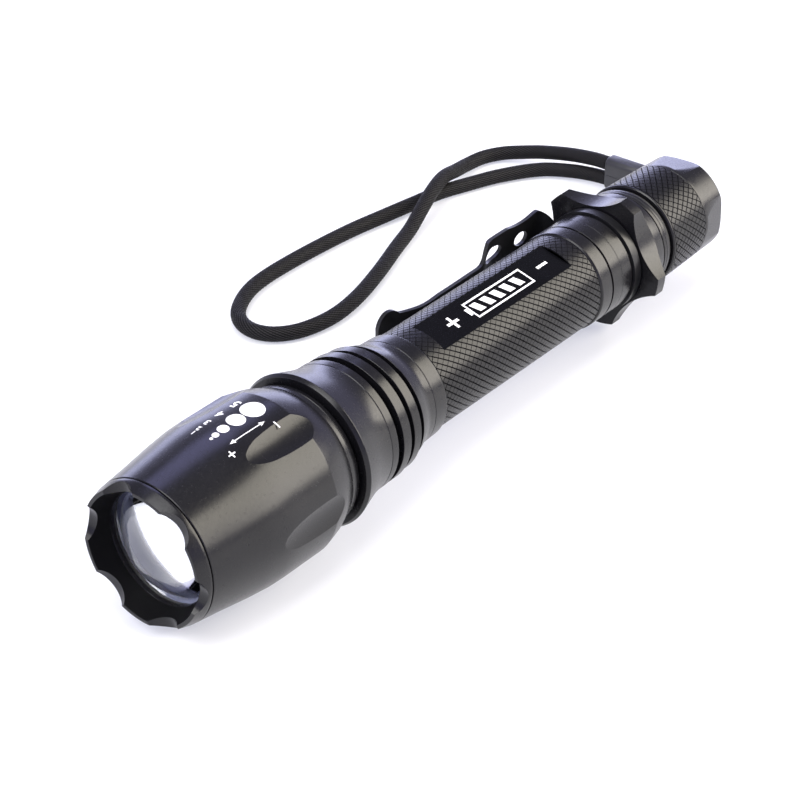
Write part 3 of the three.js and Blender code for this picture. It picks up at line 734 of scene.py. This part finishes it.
def head_shell():
    bore = 16.2
    shell = turned("head", [
        (156.6, 14.95), (156.6, 16.9), (158.0, 17.32), (158.1, 17.2), (158.25, 17.38), (159.4, 17.5),
        (163.4, 19.1), (167.6, HEAD_RADIUS), *HEAD_FRONT, (197.4, 18.2), (204.0, 17.35), (204.0, 15.9),
        (197.5, 15.9), (197.5, 13.2), (196.0, 13.2), (195.0, bore), (176.0, bore), (176.0, 14.95),
    ], sides=240, edge=0.2)
    flutes = [ellipsoid((42.3, 12.8, 12.75), (171, 32, 0), 59 + 60 * i) for i in range(6)]
    combine(shell, joined("cutter", flutes), angle=9)
    anodise(shell, "zoom_head", "head_shell")
    # painted reflection: the bore behind the lens gets the pale blue-lavender colour
    paint(shell, BORE_PAINTED_REFLECTION, lambda s, r, n: r < bore + 0.1 and 176.5 < s < 198)


def bezel():
    ring = turned("crown", [
        (201.2, 13.7), (201.2, 15.6), (204.3, 15.6), (204.3, 17.3), (205.0, 17.22), (BEZEL_RIM, 16.5),
        (BEZEL_RIM, 15.6), (202.6, 13.7),
    ], sides=240)
    radius, depth = 5.7, 2.3
    cutters = []
    for i in range(6):
        bm = bmesh.new()
        bmesh.ops.create_cone(bm, cap_ends=True, segments=96, radius1=radius, radius2=radius, depth=10)
        matrix = FROM_AXIS @ Matrix.Rotation(math.radians(50 + 60 * i), 4, "X")
        matrix = matrix @ Matrix.Translation((BEZEL_RIM + radius - depth, 16.5, 0))
        bmesh.ops.transform(bm, matrix=matrix @ Matrix.Rotation(math.pi / 2, 4, "X"), verts=bm.verts)
        cutters.append(finished("cutter", bm, 30))
    combine(ring, joined("cutter", cutters), angle=28)
    anodise(ring, "zoom_head", "bezel")
    # painted shade: the inner cone of the bezel gets the darker, duller copy of the anodising
    paint(ring, BORE_PAINTED_SHADE, lambda s, r, n: r < 15.7 and s > 202 and n.x < 0.6)


def front_lens():
    apex, edge, curvature, steps = 207.0, 13.3, 12.2, 40
    profile = [(197.8, 0), (197.8, 15.4), (199.6, 15.4), (199.6, edge)]
    for i in range(steps + 1):
        radius = edge * (1 - i / steps)
        profile.append((apex - radius * radius / (2 * curvature), radius))
    lens = turned("aspheric_lens", profile, angle=30, edge=0, even=False)
    lens.visible_shadow = False
    dress(lens, LENS_CLEAR, "clear_lens", "zoom_head", "front_lens")


def round_seal(name, station, middle, section, body, node, material=RUBBER):
    """An O-ring from its station and the radii of its middle and of its section."""
    points = [polar(section, 90 - 22.5 * i, (station, middle)) for i in range(16)]
    seal = turned(name, points, sides=96, angle=60, edge=0, even=False)
    dress(seal, material, "black_rubber", body, node)


def led_holder():
    profile = [(148.3, 11.0), (148.3, 12.6), (156.2, 12.6), (156.2, 14.5)]
    for station in (167.6, 172.6):
        profile += [(station - 1, 14.5), (station - 1, 13.1), (station + 1, 13.1), (station + 1, 14.5)]
    profile += [(186.6, 14.5), (186.6, 15.8), (189.0, 15.8), (189.0, 1.2), (186.0, 1.2), (186.0, 10.0),
                (160.0, 10.0), (159.5, 11.0)]
    holder = turned("sliding_barrel", profile, sides=128)
    for side in (6.0, -6.0):
        combine(holder, drill(184, 191, 24, (side, 0)))
    dress(holder, ALUMINIUM, "raw_aluminium", "torch_body", "led_holder")


# ---------- rings and clip ----------
def lobed_outline():
    """Five lobes with round tips and hollow arcs between them, as points (y, z)."""
    count, first, half = 5, 64, 7.5
    tip, valley = 18.6, 14.2
    tip_steps, valley_steps = 6, 28
    pitch = 360 / count
    corner_x, corner_y = polar(tip, pitch / 2 - half)
    rise = corner_x - valley
    arc = (rise * rise + corner_y * corner_y) / (2 * rise)
    spread = math.degrees(math.asin(corner_y / arc))
    outline = []
    for i in range(count):
        lobe = first + i * pitch
        outline += [polar(tip, lobe - half + 2 * half * k / tip_steps) for k in range(tip_steps + 1)]
        middle = lobe + pitch / 2
        centre = polar(valley + arc, middle)
        outline += [polar(arc, middle + 180 + spread - 2 * spread * k / valley_steps, centre)
                    for k in range(1, valley_steps)]
    return outline


def anti_roll_ring():
    rear, front = 29.9, 40.4
    ring = extruded("lobed_ring", lobed_outline(), rear, front)
    blank = turned("cutter", [(rear, 11.9), (rear, 13.5), (33.0, 13.5), (34.6, 15.0), (37.4, 19.0),
                              (front, 19.0), (front, 11.9)], even=False)
    combine(ring, blank, "INTERSECT", 30)
    combine(ring, drill(28, 42, 32, polar(16.2, -152)), angle=30)
    bevelled(ring, 0.14, 34)
    anodise(ring, "torch_body", "anti_roll_ring")


def clip_line(steps):
    """Side view of the clip's strip: middle points and unit normals."""
    route = [(41.4, -13.2, 0), (42.3, -14.4, 0), (43.3, -15.9, 0), (44.8, -16.7, 0), (48.0, -16.8, 0),
             (63.5, -16.8, 0), (66.5, -16.0, 0), (69.5, -14.9, 0), (74.0, -14.6, 0), (91.0, -14.3, 0),
             (95.0, -14.9, 0), (100.0, -17.2, 0), (106.0, -19.3, 0)]
    strip_length = 70
    line, _ = smooth_line(route, strip_length / steps)
    points = []
    for i, p in enumerate(line):
        ahead = (line[min(i + 1, len(line) - 1)] - line[max(i - 1, 0)]).normalized()
        points.append((p.x, p.y, -ahead.y, ahead.x))
    return points


def quadratic(start, control, end, steps=10):
    """Points after the start on a curve that leaves it and reaches the end towards one control point."""
    return [tuple(a * (1 - t) ** 2 + b * 2 * t * (1 - t) + c * t * t for a, b, c in zip(start, control, end))
            for t in (k / steps for k in range(1, steps + 1))]


def clip_outline():
    """The flat clip seen from its side of the torch, as points (station, z)."""
    heel, base, arm = 9.8, 9.5, 5.4
    tip_station, tip_length, tip_height, tip_open = 102.4, 3.6, 5.9, 0.93
    half = [(40.0, 5.5), (41.2, 5.5)]
    half += quadratic(half[-1], (42.8, heel), (44.4, heel))
    half += quadratic(half[-1], (50.5, 8.2), (56.5, base))
    half += [(65.2, base), (65.9, 9.3), (69.6, 6.2)]
    half += quadratic(half[-1], (70.6, arm), (72.0, arm), 5)
    half += [(88.0, arm), (98.0, 4.6)]
    half += quadratic(half[-1], (99.4, 4.5), (100.2, 4.7), 4)
    for k in range(25):
        turn = (math.pi - tip_open) * (1 - k / 24)
        half.append((tip_station + tip_length * math.cos(turn), tip_height * math.sin(turn)))
    return half + [(s, -z) for s, z in reversed(half[:-1])]


def pocket_clip():
    half_thickness, half_width = 0.5, 10.5
    points = clip_line(110)
    bm = bmesh.new()
    rows = []
    for z in (-half_width, half_width):
        rows.append([[bm.verts.new(placed(x + nx * half, y + ny * half, z)) for x, y, nx, ny in points]
                     for half in (half_thickness, -half_thickness)])
    for i in range(len(points) - 1):
        for side in (0, 1):
            bm.faces.new((rows[0][side][i], rows[0][side][i + 1], rows[1][side][i + 1], rows[1][side][i]))
        for row in rows:
            bm.faces.new((row[0][i], row[0][i + 1], row[1][i + 1], row[1][i]))
    for i in (0, -1):
        bm.faces.new((rows[0][0][i], rows[0][1][i], rows[1][1][i], rows[1][0][i]))
    clip = finished("spring_clip", bm, 30)
    combine(clip, clip_cutter(clip_outline()), "INTERSECT", 30)
    for station, height, half_length, half_height in ((63.9, 5.5, 4.4, 1.7), (51.3, 4.6, 2.7, 1.8)):
        for side in (1, -1):
            unit = [polar(1, degrees) for degrees in range(0, 360, 6)]
            oval = [(station + half_length * c, side * height + half_height * s) for c, s in unit]
            combine(clip, clip_cutter(oval), angle=30)
    ring_outline = [polar(13.7, degrees) for degrees in range(-106, 227, 4)]
    ring_outline += [polar(12.5, degrees) for degrees in range(226, -107, -4)]
    combine(clip, extruded("cutter", ring_outline, 40.9, 43.5), "UNION", 30)
    bevelled(clip, 0.13, 40)
    dress(clip, CLIP_STEEL, "black_steel", "torch_body", "pocket_clip")


def lock_ring():
    ring = turned("locking_ring", [(27.5, 11.9), (27.5, 13.5), (28.4, 13.5), (28.5, 13.4), (28.6, 13.5),
                                   (29.6, 13.5), (29.6, 11.9)])
    anodise(ring, "torch_body", "lock_ring")


# ---------- tailcap ----------
def tailcap_shell():
    def radius_at(station):
        return 13.55 + (station - 10.0) * 0.4 / 14.9

    shell = turned("cap", [
        (0, 9.5), (0, 12.1), (0.5, 12.75), (1.2, 13.3), (9.2, 13.5), (9.9, 13.5), (10.1, 13.2), (24.6, 13.5),
        (24.9, 13.9), (25.3, 13.85), (25.6, 13.5), (25.6, 11.4), (16.0, 11.4), (16.0, 10.6), (5.5, 10.6),
        (5.5, 6.9), (3.5, 6.9), (3.5, 9.5),
    ])
    flat_start, flat_end, flat_length = 11.9, 13.3, 9
    lean = math.degrees(math.atan2(flat_end - flat_start, flat_length))
    for i in range(4):
        turns = [(lean, "Z", (0, flat_start, 0)), (2 + 90 * i, "X", (0, 0, 0))]
        combine(shell, block((0, 3, 0), (2 * flat_length, 6, 30), turns))
    rear, front, lining = 10.15, 24.75, 12.6
    band = knurl_band("cap_knurl", rear, front, radius_at, 44, 12, lining, (0.27, 0.33))
    cap = joined("knurled_tailcap", [shell, band])
    anodise(cap, "tailcap", "tailcap_shell")
    paint(cap, KNURL_BLACK, lambda s, r, n: rear < s < front and r > lining + 0.1)
    round_tops(cap, rear, front, radius_at)


def button_dome():
    """A rubber boot with small raised dots in two circles round a middle one."""
    crown = 1.4
    profile = [(crown, 0), (1.42, 1.4), (1.55, 2.6), (1.85, 3.8), (2.3, 4.9), (3.0, 5.8), (3.8, 6.3),
               (5.0, 6.4), (5.0, 4.8), (3.8, 4.8), (3.2, 3.8), (3.0, 3.6), (3.0, 0)]
    pieces = [turned("button_boot", profile, 128, angle=50, edge=0.1)]
    dots = [(0.0, 0.0)]
    for count, distance in ((6, 1.5), (12, 3.0)):
        dots += [(distance, 360 * i / count) for i in range(count)]
    for distance, angle in dots:
        foot = crown + 0.02 * distance**2
        bump = [(foot - 0.25, 0), (foot - 0.16, 0.3), (foot, 0.5), (foot + 0.4, 0.5), (foot + 0.4, 0)]
        pieces.append(turned("dot", bump, 16, edge=0, at=polar(distance, angle), even=False))
    dress(joined("switch_boot", pieces), RUBBER, "black_rubber", "button", "button_dome")


# ---------- lanyard sleeve ----------
def lanyard_sleeve():
    """A moulded sleeve round both ends of the cord: a rounded section with a seam line and an open mouth."""
    station, mouth, rear, height, width = SLEEVE["station"], SLEEVE["mouth"], SLEEVE["rear"], 9.8, 5.4
    middle, corner, least_corner, sides = height / 2 + 0.1, 1.9, 0.6, 56
    seam = (0.2, 30, 0.16)

    def section(shrink):
        points = []
        for k in range(sides):
            w, h = width / 2 - shrink, height / 2 - shrink
            r = max(corner - shrink, least_corner)
            c, s = polar(1, 360 * k / sides)
            px = math.copysign(w - r, c) + r * c if abs(c) > 1e-6 else 0.0
            pz = math.copysign(h - r, s) + r * s if abs(s) > 1e-6 else 0.0
            points.append((px, pz))
        return points

    rings = [(rear, 0.5), (rear - 0.2, 0.15), (rear - 0.6, 0.0), (mouth + 0.5, 0.0), (mouth + 0.15, 0.1),
             (mouth, 0.3), (mouth + 0.1, 0.5), (mouth + 2.2, 0.55)]
    bm = bmesh.new()
    loops = []
    for y, shrink in rings:
        loops.append([bm.verts.new((TAIL_X + (station + px) * MM, y * MM, (middle + pz) * MM))
                      for px, pz in section(shrink)])
    for a, b in zip(loops, loops[1:]):
        skin(bm, a, b)
    bm.faces.new(loops[0])
    bm.faces.new(loops[-1])
    sleeve = finished("cord_sleeve", bm, 40)
    groove = bmesh.new()
    for side in (width / 2, -width / 2):
        place = (TAIL_X + (station + side) * MM, (mouth + rear) / 2 * MM, middle * MM)
        size = Matrix.Diagonal((*[length * MM for length in seam], 1))
        bmesh.ops.create_cube(groove, size=1.0, matrix=Matrix.Translation(place) @ size)
    combine(sleeve, finished("cutter", groove), angle=40)
    return dress(sleeve, SLEEVE_PLASTIC, "black_plastic", "torch_body", "lanyard_sleeve")


# ---------- printed marks ----------
def print_mark(name, shapes, to_space, body):
    """Thin raised print: flat shapes of (u, v) corners that to_space bends onto the surface."""
    thickness, grid, same = 0.02, 0.4, 1e-4
    bm = bmesh.new()
    for shape in shapes:
        bm.faces.new([bm.verts.new((u, v, 0)) for u, v in shape])
    bmesh.ops.remove_doubles(bm, verts=bm.verts, dist=same)
    bmesh.ops.dissolve_degenerate(bm, edges=bm.edges, dist=same)
    for axis in (0, 1):
        low, high = min(v.co[axis] for v in bm.verts), max(v.co[axis] for v in bm.verts)
        for k in range(math.ceil(low / grid), math.floor(high / grid) + 1):
            place, normal = Vector(), Vector()
            place[axis], normal[axis] = grid * k, 1
            geometry = bm.verts[:] + bm.edges[:] + bm.faces[:]
            bmesh.ops.bisect_plane(bm, geom=geometry, plane_co=place, plane_no=normal)
    lower = bm.verts[:]
    raised = bmesh.ops.extrude_face_region(bm, geom=bm.faces[:], use_keep_orig=True)
    raised = [item for item in raised["geom"] if isinstance(item, bmesh.types.BMVert)]
    for verts, lift in ((lower, -thickness), (raised, thickness)):
        for vert in verts:
            vert.co = to_space(vert.co.x, vert.co.y, lift)
    dress(finished(name, bm, 30), PRINT, "white_plastic", body)


def digit_faces(digit, u, v, size, turn):
    """The filled outline of a digit, centred on a point and turned by some degrees."""
    curve = bpy.data.curves.new("digit", "FONT")
    curve.body = digit
    curve.size = size
    curve.offset = 0.025 * size
    curve.align_x, curve.align_y = "CENTER", "CENTER"
    holder = add_object("digit", curve)
    mesh = applied(holder)
    bpy.data.objects.remove(holder)
    matrix = Matrix.Translation((u, v, 0)) @ Matrix.Rotation(math.radians(turn), 4, "Z")
    corners = [matrix @ vert.co for vert in mesh.vertices]
    return [[(corners[i].x, corners[i].y) for i in face.vertices] for face in mesh.polygons]


def bar(u0, v0, u1, v1, width):
    """The four corners of a straight stroke."""
    along = Vector((u1 - u0, v1 - v0))
    x, y = Vector((-along.y, along.x)).normalized() * width / 2
    return [(u0 + x, v0 + y), (u1 + x, v1 + y), (u1 - x, v1 - y), (u0 - x, v0 - y)]


def head_surface(u, v, lift):
    """u is the station and v the distance round the head from the top, towards +Y."""
    radius, clearance = HEAD_RADIUS, 0.01
    for (start, r0), (end, r1) in zip(HEAD_FRONT, HEAD_FRONT[1:]):
        if start < u <= end:
            radius = r0 + (r1 - r0) * (u - start) / (end - start)
    return at_axis(u, radius + lift + clearance, 90 - math.degrees(v / HEAD_RADIUS))


def zoom_marks():
    """Five growing dots, each with a digit, and a double arrow from a minus to a plus."""
    dots = [(186.1, 1.4, 0.8), (184.7, 1.3, 1.6), (182.1, 1.1, 2.7), (177.9, 0.9, 4.3), (172.6, 0.9, 5.6)]
    shapes = [[polar(diameter / 2, 9 * k, (station, offset)) for k in range(40)]
              for station, offset, diameter in dots]
    digits = [("1", 186.3, 1.7), ("2", 184.6, 2.0), ("3", 181.9, 2.5), ("4", 177.9, 3.1), ("5", 172.9, 3.6)]
    for digit, station, size in digits:
        shapes += digit_faces(digit, station, -3.6, size, -90)
    arrow, rear, front, line = 5.4, 173.8, 184.7, 0.22
    shapes.append(bar(rear + 1.1, arrow, front - 1.1, arrow, line))
    for tip, length, half in ((rear, 1.5, 0.55), (front, -1.5, -0.55)):
        shapes.append([(tip, arrow), (tip + length, arrow - half), (tip + length, arrow + half)])
    minus, plus, offset, arm, line = 172.3, 186.3, 7.6, 0.95, 0.34
    shapes += [bar(station, offset - arm, station, offset + arm, line) for station in (minus, plus)]
    shapes += [bar(plus - arm, offset, plus - line / 2, offset, line),
               bar(plus + line / 2, offset, plus + arm, offset, line)]
    print_mark("zoom_scale", shapes, head_surface, "zoom_head")


def panel_marks():
    """A battery outline with bars, and a plus and a minus at its ends, on the flat panel."""
    normal = Vector((0, *polar(1, PANEL["angle"])))
    across = Vector((0, *polar(1, PANEL["angle"] + 90)))

    def to_space(u, v, lift):
        return placed(u, 0, 0) + normal * (PANEL["distance"] + lift) * MM + across * v * MM

    low, high, half, line = 76.0, 98.0, 2.6, 0.5
    end, pole = half + line / 2, high + 0.9
    shapes = [bar(low, half, high, half, line), bar(low, -half, high, -half, line),
              bar(low, -end, low, end, line), bar(high, -end, high, end, line),
              bar(pole, -1.2, pole, 1.2, 0.8)]
    for i in range(5):
        start = low + 2.2 + i * 3.9
        shapes.append([(start, -1.5), (start + 2.2, -1.5), (start + 3.2, 1.5), (start + 1.0, 1.5)])
    minus, plus, arm, gap, line = 69.5, 105.0, 2.0, 0.45, 0.8
    shapes += [bar(plus - arm, 0, plus + arm, 0, line), bar(plus, gap, plus, arm, line),
               bar(plus, -arm, plus, -gap, line), bar(minus - arm, 0, minus + arm, 0, line)]
    print_mark("battery_symbol", shapes, to_space, "torch_body")


# ---------- pieces seen only inside ----------
INNER_FINISHES = [
    (WHITE_PLASTIC, "led_board", "led_centring_ring"), (PHOSPHOR, "led_emitter"),
    (RED_PLASTIC, "led_lead_positive"), (CELL_WRAP, "cell_rear", "cell_front"), (RUBBER, "button_rim"),
    (BLACK_PLASTIC, "led_lead_negative", "button_plunger", "click_switch"),
    (GREEN_BOARD, "driver_board", "switch_board"), (BRASS, "driver_ring", "switch_ring"),
    (SPRING_STEEL, "driver_spring", "button_washer", "tail_spring"),
]


def finish_inner_nodes():
    for material, *names in INNER_FINISHES:
        for name in names:
            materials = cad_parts[name].data.materials
            materials.clear()
            materials.append(material)


# ---------- stage ----------
def add_stage():
    bm = bmesh.new()
    bmesh.ops.create_grid(bm, x_segments=1, y_segments=1, size=3.0)
    floor = finished("floor", bm)
    finish = Finish("studio_floor", (0.5, 0.5, 0.5), 0.6, Emission_Strength=1.0)
    finish.color(finish.noise(3, 2), (0.49, 0.49, 0.49), (0.51, 0.51, 0.51))
    finish.shader.inputs["Emission Color"].default_value = (0.4, 0.41, 0.46, 1)
    floor.data.materials.append(finish.material)
    floor.location.z = -0.0002
    add_sky()
    bpy.context.scene.view_settings.view_transform = "Standard"


def add_sky():
    """A pale horizon that darkens upwards, as in a studio with a dark ceiling."""
    world = bpy.data.worlds.new("studio")
    world.use_nodes = True
    nodes, links = world.node_tree.nodes, world.node_tree.links
    source = nodes.new("ShaderNodeTexCoord")
    split = nodes.new("ShaderNodeSeparateXYZ")
    ramp = nodes.new("ShaderNodeValToRGB")
    stops = ramp.color_ramp.elements
    stops[0].color = (1.0, 1.0, 1.15, 1)
    stops[1].position = 0.6
    stops[1].color = (0.3, 0.3, 0.38, 1)
    stops.new(0.25).color = (0.7, 0.68, 1.1, 1)
    links.new(source.outputs["Generated"], split.inputs["Vector"])
    links.new(split.outputs["Z"], ramp.inputs["Fac"])
    links.new(ramp.outputs["Color"], nodes["Background"].inputs["Color"])
    nodes["Background"].inputs["Strength"].default_value = 1.0
    bpy.context.scene.world = world


def softbox(name, place, size, power, color):
    data = bpy.data.lights.new(name, "AREA")
    data.shape = "RECTANGLE"
    data.size, data.size_y = size
    data.energy = power
    data.color = color
    middle = (0, 0, 0.02)
    add_object(name, data).matrix_world = aimed(place, middle)


def add_lights():
    softbox("key", (1.25, -0.15, 1.45), (1.2, 1.2), 36, (1.0, 0.99, 0.98))
    softbox("sheen", (-0.78, 0.9, 0.68), (1.2, 1.0), 33, (1.0, 0.94, 0.8))
    softbox("rim", (-0.84, -0.87, 0.2), (1.0, 0.34), 4.2, (0.64, 0.67, 1.0))
    softbox("overhead", (0.1, 0, 1.5), (1.0, 0.6), 10, (1.0, 1.0, 1.0))
    softbox("top", (-0.53, -0.6, 1.04), (0.5, 0.5), 3.0, (0.52, 0.52, 1.0))


# ---------- assembly ----------
add_camera()
mouth, tail_end = [(TAIL_X + SLEEVE["station"] * MM, SLEEVE[end] * MM, SLEEVE["exit_height"] * MM)
                   for end in ("mouth", "rear")]
braided_cord("wrist_cord", "lanyard_cord", CORD_ROUTE, CORD, CORD_BRAID, exit=mouth,
             with_pieces=[lanyard_sleeve()])
braided_cord("tie_string", "lanyard_string", STRING_ROUTE, STRING, STRING_BRAID, exit=tail_end)

body_tube()
neck()
head_shell()
bezel()
front_lens()
led_holder()
round_seal("neck_seal", 122.5, 10.95, 0.4, "torch_body", "neck_o_ring")
round_seal("lens_seal", 200.4, 14.55, 0.48, "zoom_head", "lens_gasket")
round_seal("slide_seal_1", 167.6, 14.0, 0.6, "torch_body", "zoom_o_ring_1", GREASED)
round_seal("slide_seal_2", 172.6, 14.0, 0.6, "torch_body", "zoom_o_ring_2", GREASED)
round_seal("tail_seal", 26.55, 12.35, 0.68, "torch_body", "tail_o_ring")
anti_roll_ring()
pocket_clip()
lock_ring()
tailcap_shell()
button_dome()
zoom_marks()
panel_marks()
finish_inner_nodes()
add_stage()
add_lights()
